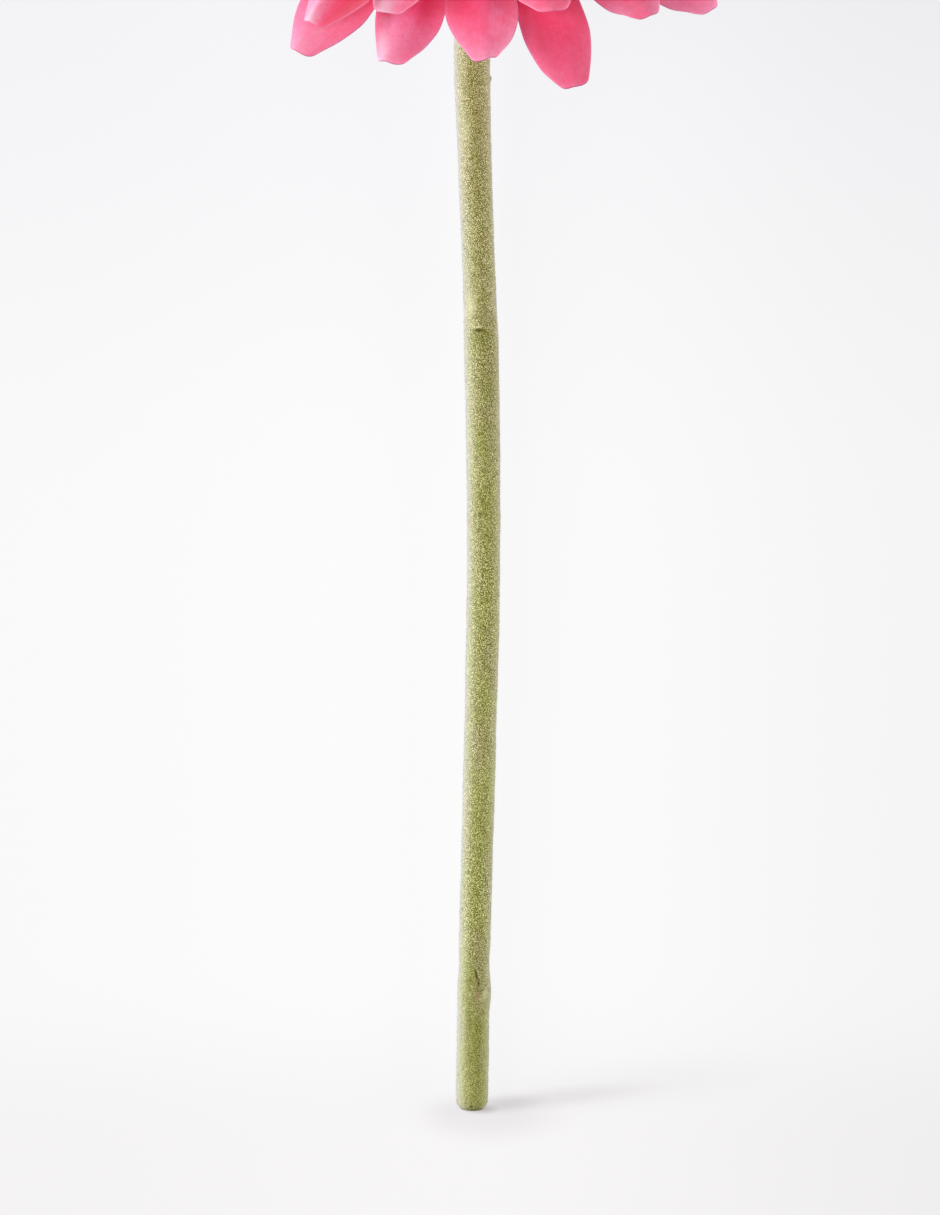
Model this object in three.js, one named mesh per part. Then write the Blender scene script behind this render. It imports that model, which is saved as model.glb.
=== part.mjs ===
// Cut gerbera, lying on its back on a table: a leafless stem, a bract cup and a double flower head.
// Millimetres, +Z up. +Y runs from the cut end towards the flower, whose face looks up and away.
// The origin is the middle of the bounding box, at table level.
import * as THREE from 'three';

const degree = Math.PI / 180;
const seatGap = 0.3; // left between pieces that touch

// Where the flower head is: the middle of its face, measured from the cut end, and how far it leans.
const head = {
  centre: new THREE.Vector3(2.6, 253, 32.5),
  lean: 32 * degree, // of the face from level, away from the stem
};

const stem = {
  radius: 3.35,
  endRound: 1.3,
  rings: 56,
  sides: 14,
  // The centreline from the cut end: it bows to one side and turns up into the head.
  route: [
    [0.3, 0, 3.45], [0.9, 34, 3.5], [2.0, 72, 3.6], [2.75, 112, 3.9],
    [2.2, 152, 4.5], [1.0, 190, 5.6], [0.7, 214, 7.2], [1.4, 232, 10.2],
  ],
  // Where the skin swells into a low step: place along the stem, height and half length.
  swellings: [
    { at: 24, height: 0.14, reach: 9 },
    { at: 60, height: -0.16, reach: 26 },
    { at: 119, height: 0.12, reach: 7 },
    { at: 155, height: 0.17, reach: 5 },
    { at: 236, height: 0.25, reach: 16 },
  ],
};

// The green cup under the face: three terraces carry the outer petals, the inner petals and the centre.
const cup = {
  depth: 14,
  radius: 13.6,
  neck: 3.7,
  outerTerrace: { radius: 11.9, height: -2.6 },
  innerTerrace: { radius: 10.1, height: -1.3 },
  sides: 24,
};

const disc = { radius: 8.0, height: 3.4 };
const fringe = { base: 8.45, seat: 9.8, reach: 21.5, rise: 5.6, thickness: 0.9 };

// A whorl of petals. Odd petals leave the cup lower than even ones, so that neighbours can overlap.
const outerWhorl = {
  name: 'outer_petal',
  seat: cup.outerTerrace,
  rise: { even: 12, odd: 6 },
  width: 14.0,
  baseShare: 0.155,
  thickness: 0.5,
  arch: 0.16,
  // Each petal: turn from its even place, reach from the middle of the face, droop at the tip, roll.
  petals: [
    [-0.9, 57.9, -9, 0], [-2.2, 63, -14, 0], [-3.9, 57.3, -6, 3], [-9, 60.8, -13, 3], [-7, 58, -11, 0],
    [-4, 60, -13, -1], [-2, 57, -10, 1], [0, 59, -14, 1], [-1, 58, -10, -1], [1, 59, -16, 1],
    [0, 58, -6, 0], [-1, 59, -16, -1], [0, 57.5, -9, 1], [1, 60, -14, -1], [-1, 57, -10, -1],
    [0, 60.5, -13, 1], [1, 58, -9, 0], [2, 60, -14, -1], [4.2, 66.5, -8, 3], [0.2, 58.3, -13, 1],
  ],
};
const innerWhorl = {
  name: 'inner_petal',
  seat: cup.innerTerrace,
  rise: { even: 25, odd: 18.5 },
  width: 12.6,
  baseShare: 0.155,
  thickness: 0.5,
  arch: 0.2,
  petals: [
    [-2, 45, 1, 0], [-5.6, 51, -7, 0], [-3, 48, 0, 1], [0, 50, -5, 0], [1, 47, 1, 0], [0, 50, -6, 0],
    [-1, 48, 0, 0], [0, 51, -5, 1], [1, 47.5, 0, 0], [0, 50, -5, 0], [-1, 48, 0, 1], [1, 50.5, -5, 0],
    [0, 47, 0, 1], [0, 49.5, -5, 0], [1, 48, 1, 1], [3, 50, -5, 0], [7.3, 64, -8, 4], [-0.6, 53, -8, 1],
  ],
};
const bract = { count: 18, fill: 0.88, thickness: 0.6 };

const colours = {
  stem: { color: 0x9c9a5e, roughness: 0.95 },
  cup: { color: 0x8d9a4c, roughness: 0.85 },
  bract: { color: 0x7f9145, roughness: 0.85 },
  outer: { color: 0xea5078, roughness: 0.6 },
  inner: { color: 0xf2809e, roughness: 0.6 },
  fringe: { color: 0xd93c64, roughness: 0.6 },
  disc: { color: 0xb7b652, roughness: 0.8 },
};

function mesh(name, geometry, finish) {
  const made = new THREE.Mesh(geometry, new THREE.MeshStandardMaterial({ metalness: 0, ...finish }));
  made.name = name;
  return made;
}

// Moves every vertex of a geometry to place(x, y, z).
function reshape(geometry, place) {
  const position = geometry.getAttribute('position');
  const point = new THREE.Vector3();
  for (let i = 0; i < position.count; i++) {
    place(point.fromBufferAttribute(position, i));
    position.setXYZ(i, point.x, point.y, point.z);
  }
  return geometry;
}

const profile = (points) => points.map(([radius, height]) => new THREE.Vector2(radius, height));

// --- The stem ---

const faceNormal = new THREE.Vector3(0, Math.sin(head.lean), Math.cos(head.lean));
const neckEnd = head.centre.clone().addScaledVector(faceNormal, -(cup.depth + seatGap));

function stemCurve() {
  const points = stem.route.map((p) => new THREE.Vector3(...p));
  const leadIn = neckEnd.clone().addScaledVector(faceNormal, -5);
  return new THREE.CatmullRomCurve3([...points, leadIn, neckEnd], false, 'centripetal');
}

// The skin's radius at a distance along the stem: low swellings on an even tube.
function stemRadius(along) {
  const bump = ({ at, height, reach }) => height * Math.exp(-(((along - at) / reach) ** 2));
  return stem.swellings.reduce((sum, s) => sum + bump(s), stem.radius);
}

// A straight stem, turned on a lathe, whose rings are then carried along the curve.
function buildStem() {
  const curve = stemCurve();
  const length = curve.getLength();
  const outline = [[0, 0], [stem.radius - stem.endRound, 0]];
  for (const turn of [30, 60, 90]) {
    const inset = stem.endRound * (1 - Math.sin(turn * degree));
    outline.push([stemRadius(0) - inset, stem.endRound * (1 - Math.cos(turn * degree))]);
  }
  for (let ring = 1; ring <= stem.rings; ring++) {
    const along = stem.endRound + (length - stem.endRound) * (ring / stem.rings);
    outline.push([stemRadius(along), along]);
  }
  outline.push([0, length]);

  const right = new THREE.Vector3();
  const up = new THREE.Vector3();
  const geometry = reshape(new THREE.LatheGeometry(profile(outline), stem.sides), (p) => {
    const share = THREE.MathUtils.clamp(p.y / length, 0, 1);
    const forward = curve.getTangentAt(share);
    right.set(1, 0, 0).addScaledVector(forward, -forward.x).normalize();
    up.crossVectors(right, forward);
    const { x, z } = p;
    curve.getPointAt(share, p).addScaledVector(right, x).addScaledVector(up, z);
  });
  return mesh('stem', geometry, colours.stem);
}

// --- Pieces turned about the face's own axis: the cup, the disc and the fringe ---

// A lathe solid that stands along +Z instead of +Y.
function turned(points, sides) {
  return new THREE.LatheGeometry(profile(points), sides).rotateX(90 * degree);
}

// The cup's outer wall, from the neck to the rim, which the bracts follow too.
const cupWall = [
  [cup.neck, -cup.depth], [5.4, -12.9], [8.6, -10.9], [11.2, -8.2], [12.9, -5.2], [cup.radius, -3.4],
];

function buildCup() {
  const { outerTerrace, innerTerrace } = cup;
  return mesh('receptacle', turned([
    [0, -cup.depth], ...cupWall,
    [cup.radius, outerTerrace.height], [outerTerrace.radius, outerTerrace.height],
    [outerTerrace.radius, innerTerrace.height], [innerTerrace.radius, innerTerrace.height],
    [innerTerrace.radius, 0], [0, 0],
  ], cup.sides), colours.cup);
}

function buildDisc() {
  const { radius, height } = disc;
  return mesh('disc_florets', turned([
    [0, seatGap], [radius, seatGap], [radius, seatGap + 1], [radius * 0.82, height * 0.8],
    [radius * 0.5, height], [radius * 0.2, height * 0.9], [0, height * 0.86],
  ], cup.sides), colours.disc);
}

function buildFringe() {
  const { base, seat, reach, rise, thickness } = fringe;
  const middle = (seat + reach) / 2;
  return mesh('inner_fringe', turned([
    [base, seatGap], [seat, seatGap], [middle, rise * 0.72], [reach, rise],
    [reach, rise + thickness], [middle - 0.6, rise * 0.72 + thickness], [base + 0.2, 2.0], [base, seatGap],
  ], cup.sides), colours.fringe);
}

// --- Petals and bracts: flat strips of one thickness, bent along an arc and arched across ---

// A petal's half width at each share of its length: it widens evenly, then rounds to a blunt tip.
function petalHalfWidth(share, width, baseShare) {
  const shoulder = 0.7;
  if (share < shoulder) {
    const grown = Math.sin((share / shoulder) * 90 * degree);
    return 0.5 * width * (baseShare + (1 - baseShare) * grown ** 1.45);
  }
  const past = (share - shoulder) / (1 - shoulder);
  return 0.5 * width * Math.sqrt(1 - 0.9 * past ** 2);
}

// A strip in its own plane: x leads away from the middle of the face, y is across and z is outwards.
function petalStrip({ start, height, rise, droop, reach, roll, width, baseShare, thickness, arch }) {
  const from = rise * degree;
  const turn = (droop - rise) * degree;
  const run = (Math.sin(from + turn) - Math.sin(from)) / turn;
  const length = (reach - start) / run;
  return reshape(new THREE.BoxGeometry(1, 2, 1, 9, 4, 1), (p) => {
    const share = p.x + 0.5;
    const angle = from + turn * share;
    const half = petalHalfWidth(share, width, baseShare);
    const rolled = roll * share * degree;
    const across = p.y * half;
    const lift = across * Math.sin(rolled) - arch * half * p.y ** 2 * share + p.z * thickness;
    p.x = start + (length * (Math.sin(angle) - Math.sin(from))) / turn - lift * Math.sin(angle);
    p.y = across * Math.cos(rolled);
    p.z = height + (length * (Math.cos(from) - Math.cos(angle))) / turn + lift * Math.cos(angle);
  });
}

// The lowest point of a strip above the table, once it stands on the leaning head.
function lowestPoint(geometry, azimuth) {
  const placed = geometry.clone().rotateZ(azimuth).rotateX(-head.lean);
  placed.computeBoundingBox();
  return head.centre.z + placed.boundingBox.min.z;
}

// A petal that would reach below the table bends up until it rests on it.
function restingPetal(spec, azimuth) {
  let geometry = petalStrip(spec);
  while (lowestPoint(geometry, azimuth) < 0) {
    spec.droop += 0.25;
    geometry = petalStrip(spec);
  }
  return geometry;
}

// Petals are counted from the one over the stem, and the count runs towards +X.
function buildWhorl(whorl) {
  const { name, seat, rise, petals, thickness } = whorl;
  const spacing = 360 / petals.length;
  return petals.map(([turn, reach, droop, roll], i) => {
    const azimuth = (i * spacing + turn - 90) * degree;
    const spec = {
      ...whorl,
      start: seat.radius + seatGap,
      height: seat.height + seatGap + thickness / 2,
      rise: i % 2 ? rise.odd : rise.even,
      reach, droop, roll,
    };
    const geometry = restingPetal(spec, azimuth).rotateZ(azimuth);
    const finish = whorl === outerWhorl ? colours.outer : colours.inner;
    return mesh(`${name}_${String(i + 1).padStart(2, '0')}`, geometry, finish);
  });
}

// A bract lies against the cup's wall, from just above the neck to just under the outer petals.
function buildBract(i) {
  const offset = seatGap + bract.thickness / 2;
  const wall = new THREE.SplineCurve(profile(cupWall.slice(1)));
  const geometry = reshape(new THREE.BoxGeometry(1, 2, 1, 7, 2, 1), (p) => {
    const share = p.x + 0.5;
    const at = wall.getPointAt(share);
    const along = wall.getTangentAt(share);
    const taper = 1 - 0.75 * Math.max(0, (share - 0.45) / 0.55) ** 1.6;
    const turn = -p.y * (180 / bract.count) * bract.fill * taper * degree;
    const out = offset + p.z * bract.thickness;
    const radius = at.x + along.y * out;
    p.set(radius * Math.cos(turn), radius * Math.sin(turn), at.y - along.x * out);
  });
  geometry.rotateZ((i * 360 / bract.count) * degree);
  return mesh(`bract_${String(i + 1).padStart(2, '0')}`, geometry, colours.bract);
}

// --- Assembly ---

const flowerHead = new THREE.Group();
flowerHead.position.copy(head.centre);
flowerHead.rotation.x = -head.lean;
flowerHead.add(
  buildCup(), buildDisc(), buildFringe(),
  ...buildWhorl(outerWhorl), ...buildWhorl(innerWhorl),
  ...Array.from({ length: bract.count }, (_, i) => buildBract(i)),
);

const flower = new THREE.Group();
flower.add(buildStem(), flowerHead);

// The part's own frame: the middle of the box in X and Y, and the table under it.
const bounds = new THREE.Box3().setFromObject(flower, true);
const middle = bounds.getCenter(new THREE.Vector3());
flower.position.set(-middle.x, -middle.y, -bounds.min.z);

const gerbera = new THREE.Group();
gerbera.add(flower);
export default gerbera;
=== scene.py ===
import math
import bpy
import numpy as np
from mathutils import Matrix, Vector


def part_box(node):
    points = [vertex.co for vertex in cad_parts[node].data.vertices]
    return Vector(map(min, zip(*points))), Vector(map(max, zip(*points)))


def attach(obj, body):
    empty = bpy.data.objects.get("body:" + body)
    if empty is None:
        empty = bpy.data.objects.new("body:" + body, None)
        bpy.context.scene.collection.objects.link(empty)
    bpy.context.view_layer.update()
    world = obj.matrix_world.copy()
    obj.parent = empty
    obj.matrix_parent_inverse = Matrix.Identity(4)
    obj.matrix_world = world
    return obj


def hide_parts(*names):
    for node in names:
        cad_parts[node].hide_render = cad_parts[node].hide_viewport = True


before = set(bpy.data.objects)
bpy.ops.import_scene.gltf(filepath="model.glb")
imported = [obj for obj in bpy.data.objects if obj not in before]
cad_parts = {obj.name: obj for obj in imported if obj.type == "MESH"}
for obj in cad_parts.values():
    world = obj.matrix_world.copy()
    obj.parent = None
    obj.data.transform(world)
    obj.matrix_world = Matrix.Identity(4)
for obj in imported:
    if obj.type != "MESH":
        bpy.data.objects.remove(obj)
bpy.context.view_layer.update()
mm = 0.001

# where the flower is: the cut end, the head's centre and how far its face leans from level
lean = math.radians(32)
headOver = {"side": 2.6, "height": 32.5}  # the head's centre from the stem's own lines, millimetres
discSize = {"radius": 8.0, "seat": 0.3}
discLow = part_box("disc_florets")[0]
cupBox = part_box("receptacle")
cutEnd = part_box("stem")[0].y
headCentre = Vector((
    (cupBox[0].x + cupBox[1].x) / 2,
    discLow.y + (discSize["radius"] * math.cos(lean) - discSize["seat"] * math.sin(lean)) * mm,
    discLow.z + (discSize["radius"] * math.sin(lean) - discSize["seat"] * math.cos(lean)) * mm,
))
headPlace = Matrix.Translation(headCentre) @ Matrix.Rotation(-lean, 4, "X")
# the lines that the stem's route is measured from
startX = headCentre.x - headOver["side"] * mm
tableLift = headCentre.z - headOver["height"] * mm
print("frame: head centre", [round(v, 4) for v in headCentre])


view = {"height": 1.0159, "along": 0.1005, "lens": 150}
camera = bpy.data.cameras.new("camera")
camera.lens = view["lens"]
camera.sensor_width = 36
camera.clip_end = 10
cameraObject = bpy.data.objects.new("camera", camera)
cameraObject.location = (startX, cutEnd + view["along"], view["height"])
bpy.context.scene.collection.objects.link(cameraObject)
bpy.context.scene.camera = cameraObject
bpy.context.scene.view_settings.view_transform = "Standard"

studio = {
    "air": (0.97, 0.98, 1.0), "airStrength": 0.12, "distance": 1.2, "size": 0.5,
    "floor": 0.03, "floorSize": 8, "floorGlow": 0.903, "backdrop": 0.78,
    "highTint": (0.975, 0.975, 1.0), "nearTint": (1.0, 0.983, 0.991), "shadeTint": (0.96, 1.04, 1.02),
    # painted shade, where the glowing floor gets darker: across (0) or along (1), from and to, by how much
    "paintedFalloff": [(0, 0, 0.1, 0.06), (0, 0, -0.1, 0.03), (1, 0.12, 0.24, 0.03), (1, 0.03, -0.01, 0.037)],
    # painted soft shadows on the floor: millimetres from the cut end, half sizes, turn in degrees, amount
    "paintedShadows": [(4, -2.1, 19, 6.4, 0, 0.1), (2.2, -0.2, 4.5, 1.3, 0, 0.24), (-4.5, -0.5, 6.5, 5, 0, 0.035),
                (7.5, 1.0, 10, 2.2, 5, 0.09), (17, 2.1, 28, 2.9, 6, 0.1), (32, 4.5, 40, 7, 7, 0.04)],
    # side (-1 is left), degrees above the table, power, colour
    "lamps": {"keyLight": (-1, 18, 22.5, (0.99, 0.99, 1.0)), "softKey": (-1, 42, 8, (0.99, 0.99, 1.0)),
              "fillLight": (1, 16, 17.5, (1.0, 0.98, 0.98)), "topLight": (0.15, 90, 3, (1.0, 1.0, 1.0))},
}
for name, (side, high, power, colour) in studio["lamps"].items():
    light = bpy.data.lights.new(name, "AREA")
    light.shape = "DISK"
    light.size = studio["size"]
    light.energy = power
    light.color = colour
    lamp = bpy.data.objects.new(name, light)
    aim = Vector((0, cutEnd + view["along"], 0))
    high = math.radians(high)
    lamp.location = aim + studio["distance"] * Vector((side * math.cos(high), 0.05, math.sin(high)))
    lamp.rotation_euler = (aim - lamp.location).to_track_quat("-Z", "Y").to_euler()
    bpy.context.scene.collection.objects.link(lamp)
world = bpy.data.worlds.new("studioAir")
world.use_nodes = True
world.node_tree.nodes["Background"].inputs["Color"].default_value = (*studio["air"], 1)
bpy.context.scene.world = world


def deselect():
    if bpy.context.mode != "OBJECT":
        setMode("OBJECT")
    bpy.ops.object.select_all(action="DESELECT")


def pick(piece):
    deselect()
    piece.select_set(True)
    bpy.context.view_layer.objects.active = piece


def setMode(mode):
    bpy.ops.object.mode_set(mode=mode)


def pickNothing(kind):
    # in edit mode, as faces and edges are then picked in object mode
    setMode("EDIT")
    bpy.ops.mesh.select_mode(type=kind)
    bpy.ops.mesh.select_all(action="DESELECT")
    setMode("OBJECT")


def applyModifiers(piece):
    pick(piece)
    for modifier in list(piece.modifiers):
        bpy.ops.object.modifier_apply(modifier=modifier.name)


def moveVertices(piece, points):
    piece.data.vertices.foreach_set("co", np.ascontiguousarray(points, np.float32).ravel())
    piece.data.update()


def vertexPoints(piece):
    co = np.zeros(len(piece.data.vertices) * 3, np.float32)
    piece.data.vertices.foreach_get("co", co)
    return co.reshape(-1, 3).astype(float)


def placed(points, matrix):
    m = np.array(matrix)
    return points @ m[:3, :3].T + m[:3, 3]


def markPoints(mesh, **labels):
    blank = np.zeros(len(mesh.vertices), np.float32)
    for label, values in labels.items():
        attribute = mesh.attributes.new(label, "FLOAT", "POINT")
        attribute.data.foreach_set("value", blank + np.float32(values))


def gridPlace(piece):
    # where each vertex of a strip is on its grid: along from 0 to 1, across from -1 to 1
    corners = np.zeros(len(piece.data.loops), int)
    piece.data.loops.foreach_get("vertex_index", corners)
    uv = np.zeros(len(corners) * 2)
    piece.data.uv_layers[0].data.foreach_get("uv", uv)
    place = np.zeros((len(piece.data.vertices), 2))
    place[corners] = uv.reshape(-1, 2)
    return place[:, 0], 2 * place[:, 1] - 1


def joined(name, pieces):
    deselect()
    for piece in pieces:
        piece.select_set(True)
    bpy.context.view_layer.objects.active = pieces[0]
    if len(pieces) > 1:
        bpy.ops.object.join()
    pieces[0].name = name
    pieces[0].data.name = name
    return pieces[0]


def finishPiece(piece, material, slot, *nodes):
    piece.data.materials.clear()
    piece.data.materials.append(material)
    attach(piece, "root")
    if nodes:
        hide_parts(*nodes)
    return piece


def smoothStep(low, high, value):
    t = np.clip((value - low) / (high - low), 0, 1)
    return t * t * (3 - 2 * t)


def newMaterial(name):
    material = bpy.data.materials.new(name)
    material.use_nodes = True
    tree = material.node_tree
    return material, tree, tree.nodes["Principled BSDF"]


def addNode(tree, kind, inputs=None, **settings):
    node = tree.nodes.new(kind)
    for key, value in settings.items():
        setattr(node, key, value)
    for key, value in (inputs or {}).items():
        if isinstance(value, bpy.types.NodeSocket):
            tree.links.new(value, node.inputs[key])
        else:
            node.inputs[key].default_value = value
    return node


def maths(tree, operation, a, b=0.0, clamp=False):
    return addNode(tree, "ShaderNodeMath", {0: a, 1: b}, operation=operation, use_clamp=clamp).outputs[0]


def plus(tree, a, b, clamp=False):
    return maths(tree, "ADD", a, b, clamp)


def minus(tree, a, b):
    return maths(tree, "SUBTRACT", a, b)


def times(tree, a, b, clamp=False):
    return maths(tree, "MULTIPLY", a, b, clamp)


def mixColour(tree, factor, a, b, blend="MIX"):
    node = addNode(tree, "ShaderNodeMix", data_type="RGBA", blend_type=blend)
    for socket, value in ((node.inputs[0], factor), (node.inputs[6], a), (node.inputs[7], b)):
        if isinstance(value, bpy.types.NodeSocket):
            tree.links.new(value, socket)
        else:
            socket.default_value = value if isinstance(value, float) else (*value, 1)
    return node.outputs[2]


def colourRamp(tree, factor, stops):
    node = addNode(tree, "ShaderNodeValToRGB", {"Fac": factor})
    ramp = node.color_ramp
    while len(ramp.elements) < len(stops):
        ramp.elements.new(0.5)
    for element, (place, colour) in zip(ramp.elements, stops):
        element.position = place
        element.color = (*colour, 1) if isinstance(colour, tuple) else (colour, colour, colour, 1)
    return node.outputs["Color"]


def noiseOn(tree, vector, scale, detail=2.0, roughness=0.5):
    values = {"Vector": vector, "Scale": scale, "Detail": detail, "Roughness": roughness}
    return addNode(tree, "ShaderNodeTexNoise", values).outputs["Fac"]


def objectPlace(tree):
    return addNode(tree, "ShaderNodeTexCoord").outputs["Object"]


def labelOn(tree, label):
    return addNode(tree, "ShaderNodeAttribute", attribute_name=label).outputs["Fac"]


def mapped(tree, values, kind="POINT"):
    return addNode(tree, "ShaderNodeMapping", values, vector_type=kind).outputs[0]


def smoothRamp(tree, value, low, high):
    node = addNode(tree, "ShaderNodeMapRange", {"Value": value, "From Min": low, "From Max": high},
                   interpolation_type="SMOOTHSTEP")
    return node.outputs[0]


def petalMaterial(name, stops, edge, rimShade=0.9):
    material, tree, shader = newMaterial(name)
    place = addNode(tree, "ShaderNodeTexCoord")
    split = addNode(tree, "ShaderNodeSeparateXYZ", {0: place.outputs["UV"]})
    along, across = split.outputs[0], split.outputs[1]
    # the gradient from the base to the tip, pushed about by soft blotches
    blotch = times(tree, minus(tree, noiseOn(tree, place.outputs["Object"], 130.0, 3.0), 0.5), 0.35)
    mottle = times(tree, minus(tree, noiseOn(tree, place.outputs["Object"], 700.0, 2.0), 0.5), 0.24)
    # the tone mark holds real colour changes and painted shade from the folds
    shifted = plus(tree, plus(tree, along, plus(tree, blotch, mottle)), labelOn(tree, "tone"))
    reach = 1.4  # how far past the tip's own colour the ramp goes
    body = colourRamp(tree, times(tree, shifted, 1 / reach), [(at / reach, colour) for at, colour in stops])
    # the sides of a petal are paler than its middle, and a thin line at the rim is darker
    off = times(tree, maths(tree, "ABSOLUTE", minus(tree, across, 0.5)), 2.0)
    side = times(tree, maths(tree, "POWER", off, 2.2), times(tree, along, 0.45))
    body = mixColour(tree, side, body, edge)
    rim = maths(tree, "MAXIMUM", smoothRamp(tree, off, 0.93, 0.99), smoothRamp(tree, along, 0.982, 0.997))
    body = mixColour(tree, times(tree, rim, rimShade), body, (0.28, 0.06, 0.15))
    # painted light and shade: the colour is scaled by the petal's light mark
    lit = {"Vector": body, "Scale": plus(tree, labelOn(tree, "light"), 1.0)}
    body = addNode(tree, "ShaderNodeVectorMath", lit, operation="SCALE").outputs[0]
    # veins run along it, and the cloth-like skin has a fine grain
    drawnOut = mapped(tree, {"Vector": place.outputs["UV"], "Scale": (1.6, 26.0, 1.0)})
    streak = noiseOn(tree, drawnOut, 1.0, 3.0, 0.55)
    grain = noiseOn(tree, place.outputs["Object"], 1900.0, 1.0)
    streakShade = colourRamp(tree, streak, [(0.3, 0.93), (0.55, 1.0), (0.75, 1.0)])
    body = mixColour(tree, 1.0, body, streakShade, "MULTIPLY")
    grainShade = colourRamp(tree, grain, [(0.3, 0.92), (0.7, 1.0)])
    body = mixColour(tree, 1.0, body, grainShade, "MULTIPLY")
    tree.links.new(body, shader.inputs["Base Color"])
    height = plus(tree, times(tree, streak, 0.7), times(tree, grain, 0.3))
    bump = addNode(tree, "ShaderNodeBump", {"Height": height, "Strength": 0.25, "Distance": 0.00015})
    tree.links.new(bump.outputs[0], shader.inputs["Normal"])
    shader.inputs["Roughness"].default_value = 0.62
    shader.inputs["Subsurface Weight"].default_value = 0.5
    shader.inputs["Subsurface Radius"].default_value = (1.0, 0.3, 0.4)
    shader.inputs["Subsurface Scale"].default_value = 0.003
    shader.inputs["Sheen Weight"].default_value = 0.25
    shader.inputs["Sheen Roughness"].default_value = 0.4
    shader.inputs["Sheen Tint"].default_value = (1.0, 0.75, 0.85, 1)
    shader.inputs["Specular IOR Level"].default_value = 0.3
    return material


outerPetalSkin = petalMaterial("outerPetalSkin", [
    (0.15, (0.72, 0.016, 0.07)), (0.5, (0.77, 0.047, 0.13)),
    (0.74, (0.79, 0.10, 0.21)), (0.98, (0.80, 0.22, 0.345)), (1.35, (0.80, 0.42, 0.52)),
], (0.82, 0.27, 0.39))
innerPetalSkin = petalMaterial("innerPetalSkin", [
    (0.1, (0.72, 0.016, 0.07)), (0.45, (0.77, 0.05, 0.135)),
    (0.7, (0.79, 0.12, 0.225)), (0.95, (0.80, 0.23, 0.35)), (1.3, (0.80, 0.43, 0.51)),
], (0.82, 0.29, 0.40), 0.4)
fringeSkin = petalMaterial("fringeSkin", [
    (0.0, (0.42, 0.06, 0.05)), (0.35, (0.62, 0.02, 0.07)),
    (0.7, (0.78, 0.05, 0.14)), (1.0, (0.90, 0.20, 0.32)),
], (0.88, 0.2, 0.33))


def greenMaterial(name, dark, light, tipColour=None):
    material, tree, shader = newMaterial(name)
    place = addNode(tree, "ShaderNodeTexCoord")
    along = addNode(tree, "ShaderNodeSeparateXYZ", {0: place.outputs["UV"]}).outputs[0]
    mottle = noiseOn(tree, place.outputs["Object"], 420.0, 3.0)
    fine = noiseOn(tree, place.outputs["Object"], 2400.0, 1.0)
    body = mixColour(tree, mottle, dark, light)
    if tipColour:
        body = mixColour(tree, smoothRamp(tree, along, 0.62, 1.0), body, tipColour)
    down = colourRamp(tree, fine, [(0.35, 0.72), (0.62, 1.0)])
    body = mixColour(tree, 1.0, body, down, "MULTIPLY")
    tree.links.new(body, shader.inputs["Base Color"])
    bump = addNode(tree, "ShaderNodeBump", {"Height": fine, "Strength": 0.4, "Distance": 0.0001})
    tree.links.new(bump.outputs[0], shader.inputs["Normal"])
    shader.inputs["Roughness"].default_value = 0.8
    shader.inputs["Sheen Weight"].default_value = 0.4
    shader.inputs["Sheen Tint"].default_value = (0.95, 1.0, 0.8, 1)
    return material


cupSkin = greenMaterial("cupSkin", (0.13, 0.19, 0.04), (0.24, 0.32, 0.08))
bractSkin = greenMaterial("bractSkin", (0.12, 0.19, 0.04), (0.25, 0.33, 0.09), (0.22, 0.11, 0.07))
discSkin = greenMaterial("discSkin", (0.36, 0.40, 0.06), (0.62, 0.60, 0.14))


def strip(name, form, place, matrix):
    # petals, bracts and florets are all a grid, bent, given a thickness and smoothed
    deselect()
    bpy.ops.mesh.primitive_grid_add(x_subdivisions=form["rows"], y_subdivisions=form["across"], size=2)
    piece = bpy.context.active_object
    piece.name = name
    piece.data.name = name
    flat = vertexPoints(piece)
    moveVertices(piece, placed(place((flat[:, 0] + 1) / 2, flat[:, 1]) * mm, matrix))
    wall = piece.modifiers.new("thickness", "SOLIDIFY")
    wall.thickness = form["thickness"] * mm
    wall.offset = 0
    smooth = piece.modifiers.new("smooth", "SUBSURF")
    smooth.levels = 1
    smooth.render_levels = 1
    applyModifiers(piece)
    bpy.ops.object.shade_smooth()
    return piece


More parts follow.
